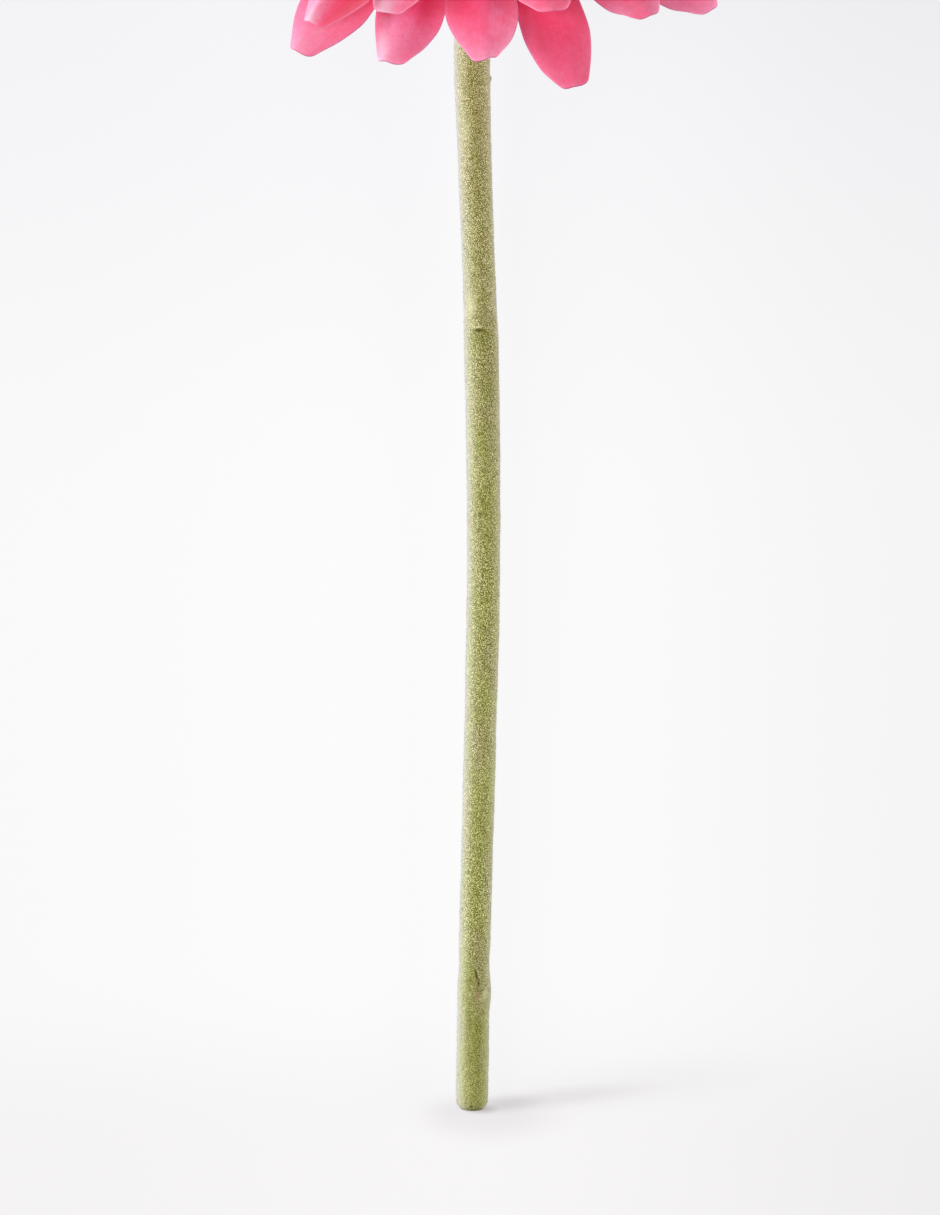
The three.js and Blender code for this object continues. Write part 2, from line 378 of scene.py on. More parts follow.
# gap is to the cup, lift is off its step, and clear is how near to the table a petal may come
petalForm = {"rows": 26, "across": 12, "thickness": 0.36, "veins": 0.02, "waves": 0.3, "shoulder": 0.76,
             "gap": 0.3, "lift": 0.25, "clear": 0.25}
outerPetals = {
    "name": "outerPetal", "node": "outer_petal", "seat": (11.9, -2.6), "rise": (12, 6),
    "width": 14.0, "base": 0.155, "arch": 0.2, "seed": 100,
    # turn from the even place, reach, droop, roll
    "petals": [
        (-0.9, 57.9, -9, 0), (-2.2, 63.0, -14, 0), (-3.9, 57.6, -6, 3), (-9.4, 60.8, -13, 3),
        (-7, 58, -11, 0), (-4, 60, -13, -1), (-2, 57, -10, 1), (0, 59, -14, 1), (-1, 58, -10, -1),
        (1, 59, -16, 1), (0, 58, -6, 0), (-1, 59, -16, -1), (0, 57.5, -9, 1), (1, 60, -14, -1),
        (-1, 57, -10, -1), (0, 60.5, -13, 1), (1, 58, -9, 0), (2, 60, -14, -1), (4.2, 66.5, -8, 3),
        (0.2, 58.3, -13, 1),
    ],
    # what a petal has of its own. Tone patches, partly real colour and partly painted shade from its folds,
    # and painted light patches, each round a place: along, across, half length, half width, amount. A swell
    # has: along, side, half length, millimetres
    "own": {
        0: {"width": 1.0, "tip": 0.36, "skew": 0.32, "slant": -0.5, "ridge": 0.1, "fold": 0.25,
            "notch": (0.45, 0.5), "tone": 0.02, "light": -0.1,
            "blushAndPaintedShade": [(0.63, -0.6, 0.14, 0.45, -0.22), (0.8, 0.95, 0.12, 0.25, 0.2),
                      (1.0, 0.0, 0.1, 0.6, 0.1), (0.7, 0.35, 0.12, 0.25, 0.12)],
            "paintedLightPatches": [(0.67, 0.35, 0.16, 0.4, 0.13), (0.95, -1.0, 0.2, 0.3, -0.12)]},
        1: {"swell": [(1.02, 1, 0.1, 0.8), (0.93, -1, 0.08, 0.55)], "width": 0.93, "tip": 0.36,
            "taper": 1.5, "skew": 0.0, "ridge": 0.1, "fold": 0.12, "notch": (-0.2, 0.1), "tone": -0.08,
            "light": -0.2,
            "blushAndPaintedShade": [(1.0, 0.0, 0.12, 1.0, -0.08), (0.55, 0.2, 0.15, 0.6, 0.1),
                      (0.6, -0.9, 0.15, 0.3, 0.15), (1.0, 0.9, 0.1, 0.3, -0.15)],
            "paintedLightPatches": [(0.5, -0.3, 0.12, 1.2, 0.28), (0.66, -0.95, 0.2, 0.3, 0.25),
                      (1.0, -1.0, 0.15, 0.3, -0.08), (1.0, 1.0, 0.12, 0.4, -0.1),
                      (0.58, 0.6, 0.1, 0.4, 0.1)]},
        2: {"width": 0.9, "tip": 0.45, "taper": 2.2, "round": 1.6, "skew": 0.3, "slant": 0.4, "ridge": 0.0,
            "fold": 0.15, "notch": (0.3, 0.0), "tone": -0.05, "light": -0.2,
            "blushAndPaintedShade": [(1.0, -0.7, 0.08, 0.6, -0.2), (0.9, 0.7, 0.2, 0.4, 0.12),
                      (0.84, -0.8, 0.08, 0.3, 0.2)], "paintedLightPatches": [(1.0, -1.0, 0.1, 0.3, -0.1)]},
        3: {"width": 0.85, "tip": 0.45, "taper": 2.2, "round": 1.6, "skew": 0.3, "slant": 0.4, "ridge": 0.0,
            "fold": 0.15, "notch": (0.2, 0.0), "tone": 0.04, "light": -0.04,
            "paintedLightPatches": [(0.8, -0.6, 0.15, 0.8, 0.12)], "blushAndPaintedShade": [(0.8, -0.8, 0.1, 0.4, 0.12)]},
        18: {"swell": [(0.84, -1, 0.14, 0.95)], "width": 0.92, "tip": 0.38, "taper": 1.2, "skew": 0.12,
             "slant": -0.3, "ridge": -0.35, "fold": 0.3, "notch": (-0.5, 0.1), "tone": 0.04, "light": -0.04,
             "paintedLightPatches": [(1.0, 0.9, 0.2, 0.4, -0.1)],
             "blushAndPaintedShade": [(0.8, 0.1, 0.1, 0.4, 0.12), (1.0, 0.8, 0.1, 0.3, -0.12),
                       (0.9, -1.0, 0.2, 0.25, -0.12)]},
        19: {"width": 0.92, "tip": 0.42, "taper": 1.25, "skew": 0.04, "slant": -0.6, "ridge": -0.45,
             "fold": 0.3, "notch": (-0.35, 0.3), "tone": 0.04, "light": 0.0,
             "paintedLightPatches": [(0.6, 0.0, 0.18, 0.9, 0.28), (0.8, -0.2, 0.15, 0.4, 0.1),
                       (0.6, 0.95, 0.15, 0.35, 0.18)],
             "blushAndPaintedShade": [(0.92, -0.57, 0.25, 0.32, 0.35), (0.95, 0.7, 0.12, 0.4, -0.15),
                       (0.68, 0.0, 0.12, 0.4, 0.12), (0.62, 0.4, 0.08, 0.3, -0.1)]},
    },
}
innerPetals = {
    "name": "innerPetal", "node": "inner_petal", "seat": (10.1, -1.3), "rise": (25, 18.5),
    "width": 12.6, "base": 0.155, "arch": 0.24, "seed": 150,
    "petals": [
        (-2, 45, 1, 0), (-5.6, 51.0, -7, 0), (-3, 48, 0, 1), (0, 50, -5, 0), (1, 47, 1, 0), (0, 50, -6, 0),
        (-1, 48, 0, 0), (0, 51, -5, 1), (1, 47.5, 0, 0), (0, 50, -5, 0), (-1, 48, 0, 1), (1, 50.5, -5, 0),
        (0, 47, 0, 1), (0, 49.5, -5, 0), (1, 48, 1, 1), (3, 50, -5, 0), (9.5, 64, -8, 4),
        (-0.6, 53.0, -8, 1),
    ],
    "own": {
        1: {"swell": [(1.0, 1, 0.15, 0.7)], "width": 1.04, "tip": 0.42, "taper": 1.6, "skew": 0.05,
            "slant": 0.4, "ridge": 0.1, "notch": (0.2, 0.05), "tone": -0.2, "light": -0.07,
            "blushAndPaintedShade": [(0.9, -0.9, 0.15, 0.3, -0.12), (0.92, 0.7, 0.08, 0.3, -0.08)]},
        16: {"swell": [(1.0, -1, 0.2, -1.0)], "width": 0.97, "tip": 0.44, "round": 0.6, "skew": -0.02,
             "slant": -0.2, "ridge": -0.15, "fold": 0.5, "notch": (0.0, 0.0), "tone": 0.0, "light": -0.02,
             "blushAndPaintedShade": [(0.8, 0.8, 0.3, 0.5, -0.65), (0.95, -0.35, 0.2, 0.35, 0.2),
                       (1.0, 0.1, 0.15, 0.3, 0.15), (1.0, -1.0, 0.1, 0.3, -0.3)],
             "paintedLightPatches": [(0.95, -0.9, 0.2, 0.3, -0.06), (0.85, 0.9, 0.3, 0.4, -0.06)]},
        17: {"width": 0.93, "tip": 0.48, "taper": 1.6, "skew": 0.06, "slant": -0.3, "ridge": 0.3,
             "fold": 0.1, "notch": (0.2, 0.0), "tone": 0.1, "light": 0.05,
             "paintedLightPatches": [(0.9, -0.45, 0.15, 0.7, 0.18)],
             "blushAndPaintedShade": [(0.95, -0.3, 0.2, 0.5, 0.25), (0.9, 0.85, 0.2, 0.4, -0.35)]},
    },
}


def petalHalfWidth(share, whorl, own):
    # out along a sine to the shoulder, then nearly straight in to a blunt tip
    shoulder, base = petalForm["shoulder"], whorl["base"]
    grown = np.sin(np.clip(share / shoulder, 0, 1) * math.pi / 2) ** 1.45
    past = np.clip((share - shoulder) / (1 - shoulder), 0, 1)
    taper = 1 - (1 - own.get("tip", 0.38)) * past ** own.get("taper", 1.45)
    shape = np.where(share < shoulder, base + (1 - base) * grown, taper)
    return 0.5 * whorl["width"] * own.get("width", 1.0) * shape


def petalPlacer(whorl, i, droop, random):
    turn, reach, _, roll = whorl["petals"][i]
    usual = {
        "ridge": random.uniform(-0.35, 0.35), "fold": random.uniform(0.15, 0.32),
        "skew": random.uniform(-0.25, 0.25),
        "notch": (random.uniform(-0.4, 0.4), random.uniform(0.1, 0.6)), "tone": random.uniform(-0.14, 0.08),
    }
    own = {**usual, **whorl["own"].get(i, {})}
    ridge, fold, (notch, depth) = own["ridge"], own["fold"], own["notch"]
    phases = random.uniform(0, 2 * math.pi, 6)
    curl = random.uniform(-0.05, 0.07)
    start = whorl["seat"][0] + petalForm["gap"]
    height = whorl["seat"][1] + petalForm["gap"] + petalForm["lift"]
    rise = math.radians(whorl["rise"][i % 2])

    def place(u, c):
        share = 1 - (1 - u) ** 1.3
        bend = math.radians(droop) - rise
        length = (reach - start) * bend / (math.sin(rise + bend) - math.sin(rise))
        half = petalHalfWidth(share, whorl, own)
        ripe = smoothStep(0.05, 0.6, share)
        nearTip = smoothStep(0.86, 1.0, share)
        run = share * length - depth * np.exp(-((c - notch) / 0.28) ** 2) * nearTip
        run = run + (own.get("slant", 0) * c - own.get("round", 1.0) * c ** 4) * nearTip
        angle = rise + bend * run / length
        across = c * half + own["skew"] * 0.25 * whorl["width"] * smoothStep(0.6, 1.0, share)
        # one side swells out or draws in round a share of the length
        for at, side, spread, amount in own.get("swell", []):
            swell = side * amount * np.maximum(side * c, 0)
            across = across + swell * np.exp(-((share - at) / spread) ** 2)
        rolled = math.radians(roll) * share
        rib = petalForm["veins"] * np.cos(c * 13.0 + phases[0]) * ripe * (1 - nearTip)
        wave = petalForm["waves"] * ripe * (
            0.6 * np.sin(share * 5.0 + c * 1.3 + phases[1]) * c
            + 0.4 * np.sin(share * 9.0 + c * 2.6 + phases[2]) * c
            + 0.3 * np.sin(share * 7.0 + phases[3]))
        crease = np.sqrt((c - ridge) ** 2 + 0.005) - math.sqrt(ridge ** 2 + 0.005)
        lift = across * np.sin(rolled) - fold * half * crease * ripe
        lift = lift - whorl["arch"] * 0.5 * half * c ** 2 * share
        lift = lift + rib + wave + curl * half * np.abs(c) ** 3 * ripe
        x = start + length * (np.sin(angle) - math.sin(rise)) / bend - lift * np.sin(angle)
        z = height + length * (math.cos(rise) - np.cos(angle)) / bend + lift * np.cos(angle)
        return np.stack([x, across * np.cos(rolled), z], axis=1)

    def marks(u, c):
        # the tone is how far the colour is on its way to the tip's, moved by real colour patches and by
        # painted shade, and the light is painted light and shade that makes it paler or darker as it is
        def spread(patches):
            return sum(v * np.exp(-((u - a) / m) ** 2 - ((c - b) / n) ** 2) for a, b, m, n, v in patches)

        return {"tone": own["tone"] + spread(own.get("blushAndPaintedShade", [])),
                "light": own.get("light", -0.05) + spread(own.get("paintedLightPatches", []))}

    return place, marks


def buildPetal(whorl, i):
    azimuth = math.radians(i * 360 / len(whorl["petals"]) + whorl["petals"][i][0] - 90)
    matrix = headPlace @ Matrix.Rotation(azimuth, 4, "Z")
    droop = whorl["petals"][i][2]
    samples = np.meshgrid(np.linspace(0, 1, 25), np.linspace(-1, 1, 9))
    # a petal that would reach below the table bends up until it rests on it
    while True:
        place, marks = petalPlacer(whorl, i, droop, np.random.default_rng(whorl["seed"] + i))
        lowest = placed(place(samples[0].ravel(), samples[1].ravel()) * mm, matrix)[:, 2].min()
        if lowest > petalForm["clear"] * mm:
            break
        droop += 0.5
    number = f"{i + 1:02d}"
    piece = strip(whorl["name"] + number, petalForm, place, matrix)
    markPoints(piece.data, **marks(*gridPlace(piece)))
    skin = outerPetalSkin if whorl is outerPetals else innerPetalSkin
    finishPiece(piece, skin, whorl["node"], f'{whorl["node"]}_{number}')


for whorl in (outerPetals, innerPetals):
    for i in range(len(whorl["petals"])):
        buildPetal(whorl, i)
    print("petals:", whorl["name"], len(whorl["petals"]))


stemForm = {
    "sides": 88, "cuts": 819, "endRings": 12, "endRound": 2.3, "endInset": 1.6,
    # the centreline from the cut end, as the solid's
    "route": [(0.35, 0, 3.45), (0.95, 34, 3.5), (1.97, 72, 3.6), (2.72, 112, 3.9), (2.27, 152, 4.5),
              (0.95, 190, 5.6), (0.42, 214, 7.2), (1.4, 232, 10.2)],
    # distance from the cut end, radius of the skin under the down
    "skin": [(0, 3.12), (4, 3.17), (20, 3.17), (23, 3.27), (26, 3.23), (28.5, 2.96), (33, 3.06), (52, 3.13),
             (78, 3.17), (85, 3.27), (112, 3.3), (118, 3.37), (122.5, 3.28), (128, 3.33), (136, 3.4),
             (152, 3.42), (156.5, 3.38), (158.5, 3.24), (190, 3.26), (197, 3.42), (205, 3.55), (226, 3.58),
             (242, 3.7), (256, 3.8)],
    # place along, angle round (90 is up), half length, half turn in degrees, depth, slant, painted shade
    # (below zero, a painted highlight)
    "creases": [(155.8, 96, 0.22, 15, 0.45, 0.1, 2.4), (154.4, 88, 1.5, 30, 0.12, 0, 0.3),
                (156.5, 100, 0.22, 15, -0.2, 0, -1.0), (24.0, 62, 0.45, 24, 0.35, -1.9, 0.4),
                (26.9, 80, 0.7, 2.5, 0.35, 0.8, 2.2), (25.5, 72, 0.6, 2.5, 0.35, 0.8, 2.0),
                (27.8, 84, 0.6, 2.5, 0.25, 0.6, 1.8), (148, 45, 8, 30, 0, 0, 0.13),
                (160.5, 78, 2, 12, 0, 0, 0.3), (23.6, 50, 1.6, 12, -0.1, 0, -0.5),
                (23.4, 5, 2.2, 30, -0.2, 0, 0), (119, 121, 0.6, 5, 0.15, 1.0, 0.8),
                (119, 100, 0.6, 5, 0.15, -1.0, 0.8), (121.5, 90, 0.5, 8, 0.12, 1.5, 0.7),
                (8.6, 124, 0.6, 4, 0.12, 0, 0.5), (8.2, 68, 0.5, 4, 0.12, 0, 0.6),
                (206, 3, 0.5, 12, -0.35, 0, 0.3), (96, 80, 0.6, 18, 0.08, 1, 0.4),
                (66, 110, 0.5, 18, 0.08, 2, 0.4), (-0.3, 90, 0.9, 300, 0, 0, 0.8),
                (161, 122, 3.0, 20, 0, 0, -0.4), (196, 115, 3.0, 20, 0, 0, -0.3),
                (192, 78, 14, 28, 0, 0, 0.17), (144, 72, 16, 26, 0, 0, 0.17), (118, 76, 8, 26, 0, 0, 0.1),
                (12, 64, 13, 20, 0, 0, 0.08)],
    # greener patches: place along, angle, half length, half turn, strength
    "lush": [(206, 96, 3, 10, 0.6), (190, 80, 2.5, 10, 0.7), (162, 78, 1.5, 12, 0.7),
             (154, 95, 2.2, 40, 0.8), (145, 70, 1.5, 10, 0.6), (142.5, 80, 1.5, 12, 0.6),
             (134, 95, 3, 20, 0.5), (122, 85, 2.5, 30, 0.5), (114.5, 72, 2, 10, 0.6),
             (101, 106, 4, 10, 0.5), (91, 95, 4, 12, 0.4), (79, 103, 2, 14, 0.5), (59, 80, 4, 10, 0.6),
             (44, 104, 3.5, 14, 0.5), (27, 106, 2.5, 14, 1.0), (17.5, 108, 4, 12, 0.9),
             (15.5, 74, 3, 10, 0.8), (10.5, 100, 1.5, 20, 0.4)],
    # reddish flecks: place along, angle, size
    "flecks": [(23.3, 76, 0.45), (22.6, 80, 0.35), (117.4, 146, 0.5)],
    "waves": 0.06, "grain": 0.03,
    # how far its end is behind the head's centre, and the straight part before that
    "neckEnd": 14.3, "neck": 5,
    # the rings of the cut end: scale and depth
    "capRings": [(0.8, 0.02), (0.75, 0.01), (0.6, 0.0)],
    "eye": {"along": 1.0, "angle": 90, "ring": 0.5, "tube": 0.12, "proud": 0.05, "forward": 0.75},
}


def catmullRom(points, perSegment):
    # centripetal, so that it runs as the solid's centreline does
    p = np.vstack([2 * points[0] - points[1], points, 2 * points[-1] - points[-2]])
    t = np.linspace(0, 1, perSegment, endpoint=False)[:, None]
    curve = []
    for a, b, c, d in zip(p[:-3], p[1:-2], p[2:-1], p[3:]):
        ab, bc, cd = (max(np.linalg.norm(q - w) ** 0.5, 1e-4) for w, q in ((a, b), (b, c), (c, d)))
        m1 = ((b - a) / ab - (c - a) / (ab + bc) + (c - b) / bc) * bc
        m2 = ((c - b) / bc - (d - b) / (bc + cd) + (d - c) / cd) * bc
        curve.append(b + t * m1 + t ** 2 * (3 * (c - b) - 2 * m1 - m2) + t ** 3 * (2 * (b - c) + m1 + m2))
    return np.vstack(curve + [points[-1][None]])


faceNormal = np.array((0, math.sin(lean), math.cos(lean)))
headMm = np.array((headOver["side"], (headCentre.y - cutEnd) / mm, headOver["height"]))
neckEnd = headMm - stemForm["neckEnd"] * faceNormal
neck = [tuple(neckEnd - stemForm["neck"] * faceNormal), tuple(neckEnd)]
stemLine = catmullRom(np.array(stemForm["route"] + neck, float), 60)
stemSteps = np.concatenate([[0], np.cumsum(np.linalg.norm(np.diff(stemLine, axis=0), axis=1))])
stemLength = stemSteps[-1]


def stemPoint(distance):
    return np.stack([np.interp(distance, stemSteps, stemLine[:, k]) for k in range(3)], axis=-1)


def unit(vectors):
    return vectors / np.linalg.norm(vectors, axis=-1, keepdims=True)


def alongStem(distance):
    # centre, forward, right and up at a distance along the stem
    forward = unit(stemPoint(distance + 1.5) - stemPoint(distance - 1.5))
    right = unit(np.array((1.0, 0, 0)) - forward * forward[..., :1])
    return stemPoint(distance), forward, right, np.cross(right, forward)


def creaseShape(crease, distance, angle):
    place, centre, half, spread, _, slant, _ = crease
    off = (np.degrees(angle) - centre + 180) % 360 - 180
    return np.exp(-((distance - place - slant * off / 30) / half) ** 2 - (off / spread) ** 2)


def stemRadius(distance, angle):
    profile = np.array(stemForm["skin"], float)
    # a mean of four places near each other, so that the swellings have no corners
    near = (-0.8, -0.3, 0.3, 0.8)
    radius = sum(np.interp(distance + step, profile[:, 0], profile[:, 1]) for step in near) / 4
    radius = radius + stemForm["waves"] * (
        0.5 * np.sin(distance * 0.21 + 1.3 * np.sin(angle))
        + 0.3 * np.sin(distance * 0.53 + 2 * np.cos(angle + 0.7))
        + 0.4 * np.sin(2 * angle + distance * 0.045) + 0.2 * np.sin(distance * 1.1 + 3 * np.sin(angle + 2)))
    for crease in stemForm["creases"]:
        radius = radius - crease[4] * creaseShape(crease, distance, angle)
    return radius


def markStem(mesh, distance, angle):
    # painted shade in the creases and in broad patches, painted highlights by some creases, a darker cut
    # end, and reddish flecks, kept as numbers on the points
    dark = sum(crease[6] * creaseShape(crease, distance, angle) for crease in stemForm["creases"])
    red = sum(creaseShape((place, turn, size, 16 * size, 0, 0, 0), distance, angle)
              for place, turn, size in stemForm["flecks"])
    lush = sum(patch[4] * creaseShape((*patch, 0, 0), distance, angle) for patch in stemForm["lush"])
    # painted sheen: the sides are paled as the down does at a grazing angle, less so underneath
    veil = np.minimum(1 - np.sin(angle + 0.2), 1.0) * (1 + 0.8 * np.minimum(np.sin(angle), 0.0))
    markPoints(mesh, dark=dark, red=red, lush=lush, veil=veil)


def stemSkinPoint(distance, angle, out):
    centre, _, right, up = alongStem(distance)
    radial = right * np.cos(angle)[..., None] + up * np.sin(angle)[..., None]
    return centre + radial * out[..., None], radial


def toTable(points):
    # from millimetres beside the cut end to the part's own frame; nothing goes below the table
    points = points * mm + np.array((startX, cutEnd, tableLift))
    points[:, 2] = np.maximum(points[:, 2], 0.00002)
    return points


def endInset(distance):
    # how far the skin is drawn in by the rounded end
    share = np.clip(1 - distance / stemForm["endRound"], 0, 1)
    return stemForm["endInset"] * (1 - np.sqrt(1 - share ** 2))


def buildStem():
    deselect()
    bpy.ops.mesh.primitive_cylinder_add(vertices=stemForm["sides"], radius=1, depth=1, end_fill_type="NGON")
    piece = bpy.context.active_object
    piece.name = piece.data.name = "stemSkin"
    pickNothing("EDGE")
    for edge in piece.data.edges:
        a, b = (piece.data.vertices[v].co.z for v in edge.vertices)
        edge.select = abs(a - b) > 0.5
    setMode("EDIT")
    bpy.ops.mesh.subdivide_edgering(number_cuts=stemForm["cuts"], interpolation="LINEAR")
    setMode("OBJECT")
    straight = vertexPoints(piece)
    rings = stemForm["cuts"] + 1
    ring = np.round((straight[:, 2] + 0.5) * rings)
    # right and up turn against the cylinder's own way, so it is gone round backwards to face outwards
    angle = np.arctan2(-straight[:, 1], straight[:, 0])
    side = np.round(angle / (2 * math.pi) * stemForm["sides"]).astype(int) % stemForm["sides"]
    turn = np.clip(ring / stemForm["endRings"], 0, 1) * math.pi / 2
    rest = np.clip((ring - stemForm["endRings"]) / (rings - stemForm["endRings"]), 0, 1)
    distance = stemForm["endRound"] * (1 - np.cos(turn)) + rest * (stemLength - stemForm["endRound"])
    inset = stemForm["endInset"] * (1 - np.sin(turn))
    random = np.random.default_rng(11)
    grain = random.normal(size=(rings + 1, stemForm["sides"]))
    grain = (grain + np.roll(grain, 1, 0) + np.roll(grain, 1, 1) + np.roll(grain, (1, 1), (0, 1))) / 2
    radius = stemRadius(distance, angle) - inset + stemForm["grain"] * grain[ring.astype(int), side]
    points, _ = stemSkinPoint(distance, angle, radius)
    moveVertices(piece, toTable(points))
    markStem(piece.data, distance, angle)
    # the closed end: a shallow dished cap
    pickNothing("FACE")
    for face in piece.data.polygons:
        face.select = len(face.vertices) > 4 and face.center.y < cutEnd + 0.02
    setMode("EDIT")
    centre = toTable(alongStem(np.array([0.0]))[0])[0]
    for scale, depth in stemForm["capRings"]:
        bpy.ops.mesh.extrude_region_move(TRANSFORM_OT_translate={"value": (0, -depth * mm, 0)})
        bpy.ops.transform.resize(value=(scale, 1, scale), center_override=tuple(centre))
    bpy.ops.mesh.poke()
    setMode("OBJECT")
    # the small ring of the pith, just above the rounded edge
    eye = stemForm["eye"]
    at, angle = np.array([eye["along"]]), np.array([math.radians(eye["angle"])])
    point, radial = stemSkinPoint(at, angle, stemRadius(at, angle) - endInset(at) + eye["proud"])
    outward = Vector(radial[0]) - Vector(alongStem(at)[1][0]) * eye["forward"]
    deselect()
    bpy.ops.mesh.primitive_torus_add(
        location=toTable(point)[0], rotation=outward.to_track_quat("Z", "X").to_euler(), major_segments=24,
        minor_segments=8, major_radius=eye["ring"] * mm, minor_radius=eye["tube"] * mm)
    ring = bpy.context.active_object
    bpy.ops.object.transform_apply(location=True, rotation=True, scale=True)
    piece = joined("stemSkin", [piece, ring])
    bpy.ops.object.shade_smooth()
    return piece


# root is how deep a fibre starts, back is how far all of them lean towards the cut end
downForm = {"tufts": 15500, "perTuft": 3, "length": (0.12, 0.27), "width": (0.055, 0.085), "spread": 0.12,
            "lean": 0.4, "tuftLean": 0.25, "root": 0.06, "back": 0.12, "toneSpread": 0.12,
            "capShare": 0.004, "capRadius": 1.25, "capDepth": 0.02}


def buildDown(name, seed):
    # tufts of fibres, each a closed three-sided spike that stands on the skin and leans its own way
    random = np.random.default_rng(seed)
    tufts, per = downForm["tufts"], downForm["perTuft"]
    count = tufts * per
    onCap = int(count * downForm["capShare"])
    distance = (np.arange(tufts) + random.uniform(0, 1, tufts)) / tufts * (stemLength - 1.5) + 0.05
    angle = random.uniform(-math.pi, math.pi, tufts)
    tuftLean = random.normal(0, downForm["tuftLean"], (tufts, 2))
    tone = np.repeat(random.uniform(0, 1, tufts), per) + random.normal(0, downForm["toneSpread"], count)
    distance = np.maximum(np.repeat(distance, per) + random.normal(0, downForm["spread"], count), 0.02)
    angle = np.repeat(angle, per) + random.normal(0, downForm["spread"] / 3.0, count)
    root = stemRadius(distance, angle) - endInset(distance) - downForm["root"]
    base, radial = stemSkinPoint(distance, angle, root)
    _, forward, right, up = alongStem(distance)
    around = np.cross(forward, radial)
    outward = radial - forward * np.clip(1 - distance / stemForm["endRound"], 0, 1)[:, None] * 1.2
    # the last few stand on the end cap
    capRadius = downForm["capRadius"] * np.sqrt(random.uniform(0, 1, onCap))
    base[:onCap], _ = stemSkinPoint(np.full(onCap, downForm["capDepth"]), angle[:onCap], capRadius)
    outward[:onCap] = -forward[:onCap]
    tipped = np.repeat(tuftLean, per, axis=0) + random.normal(0, downForm["lean"], (count, 2))
    direction = unit(outward + around * tipped[:, :1] + forward * (tipped[:, 1:] - downForm["back"]))
    length = random.uniform(*downForm["length"], count)[:, None]
    width = random.uniform(*downForm["width"], count)[:, None] / 2
    sideways = unit(np.cross(direction, forward + 0.01))
    across = np.cross(direction, sideways)
    spin = random.uniform(0, 2 * math.pi, count)[:, None]
    third = 2.0944  # of a turn
    turns = [spin + k * third for k in range(3)]
    corners = [base + width * (sideways * np.cos(turn) + across * np.sin(turn)) for turn in turns]
    points = np.stack(corners + [base + direction * length], axis=1).reshape(-1, 3)
    spikes = np.array(((0, 2, 1), (0, 1, 3), (1, 2, 3), (2, 0, 3)))
    faces = (spikes[None] + 4 * np.arange(count)[:, None, None]).reshape(-1, 3)
    mesh = bpy.data.meshes.new(name)
    mesh.from_pydata(toTable(points).tolist(), [], faces.tolist())
    # each fibre has its own small cell of the map, with its three sides on one another
    cells = math.ceil(math.sqrt(count))
    corner = np.stack([np.arange(count) % cells, np.arange(count) // cells], axis=1)[:, None, None]
    side = np.array(((0.1, 0.1), (0.9, 0.1), (0.5, 0.9)))
    layout = np.stack([side, side, side, side])[None] + corner
    mesh.uv_layers.new(name="OFBake").data.foreach_set("uv", (layout / cells).astype(np.float32).ravel())
    markStem(mesh, np.repeat(distance, 4), np.repeat(angle, 4))
    markPoints(mesh, tip=np.tile((0, 0, 0, 1), count), tone=np.repeat(tone, 4))
    piece = bpy.data.objects.new(name, mesh)
    bpy.context.scene.collection.objects.link(piece)
    return piece


def stemMaterial(name, colours, fibre):
    material, tree, shader = newMaterial(name)
    place = objectPlace(tree)
    marks = {label: labelOn(tree, label) for label in ("tip", "tone", "red", "dark", "lush", "veil")}
    patches = noiseOn(tree, mapped(tree, {"Vector": place, "Scale": (1.0, 0.3, 1.0)}), 230.0, 3.0, 0.55)
    speckle = noiseOn(tree, mapped(tree, {"Vector": place, "Rotation": (0.5, 0.7, 0.4)}), 7300.0, 0.0)
    height = addNode(tree, "ShaderNodeSeparateXYZ", {0: place}).outputs[1]
    # fresher green towards the cut end and in soft lengthwise patches
    green = plus(tree, smoothRamp(tree, height, cutEnd + 0.22, cutEnd + 0.02), 0.35)
    green = times(tree, green, colourRamp(tree, patches, [(0.36, 0.1), (0.62, 1.0)]), True)
    green = plus(tree, green, marks["lush"], True)
    gap = mixColour(tree, green, colours["gap"], colours["greenGap"])
    down = mixColour(tree, green, colours["down"], colours["greenDown"])
    # the speckle is strong along most of the stem and faint near the cut end
    strength = plus(tree, times(tree, smoothRamp(tree, height, cutEnd + 0.01, cutEnd + 0.045), 0.43), 0.42)
    blend = times(tree, minus(tree, smoothRamp(tree, speckle, 0.5, 0.66), 0.25), strength)
    # painted shade: a little darker along the top, where the painted sheen is least
    top = maths(tree, "POWER", minus(tree, 1.0, marks["veil"]), 3.0)
    blend = minus(tree, blend, times(tree, top, 0.09))
    blend = minus(tree, blend, times(tree, marks["lush"], 0.1))
    if fibre:
        lift = plus(tree, times(tree, marks["tip"], 0.45), times(tree, marks["tone"], 0.25))
        blend = plus(tree, times(tree, blend, 0.4), plus(tree, lift, 0.1), True)
    else:
        bump = addNode(tree, "ShaderNodeBump", {"Height": speckle, "Strength": 1.0, "Distance": 0.00012})
        tree.links.new(bump.outputs[0], shader.inputs["Normal"])
        blend = plus(tree, blend, 0.25, True)
    body = mixColour(tree, blend, gap, down)
    # painted sheen: the sides are mixed towards a pale grey
    veil = times(tree, maths(tree, "POWER", marks["veil"], 1.2), 0.75)
    body = mixColour(tree, veil, body, colours["veil"])
    body = mixColour(tree, times(tree, marks["red"], 0.6, True), body, colours["fleck"])
    # painted shade where the dark mark is above zero, a painted highlight where it is below
    body = mixColour(tree, times(tree, marks["dark"], 0.85, True), body, colours["shade"])
    body = mixColour(tree, times(tree, marks["dark"], -0.8, True), body, colours["paintedHighlight"])
    tree.links.new(body, shader.inputs["Base Color"])
    shader.inputs["Roughness"].default_value = 0.9
    shader.inputs["Specular IOR Level"].default_value = 0.15
    shader.inputs["Sheen Weight"].default_value = 0.15
    shader.inputs["Sheen Roughness"].default_value = 0.5
    shader.inputs["Sheen Tint"].default_value = (1.0, 0.975, 0.97, 1)
    return material


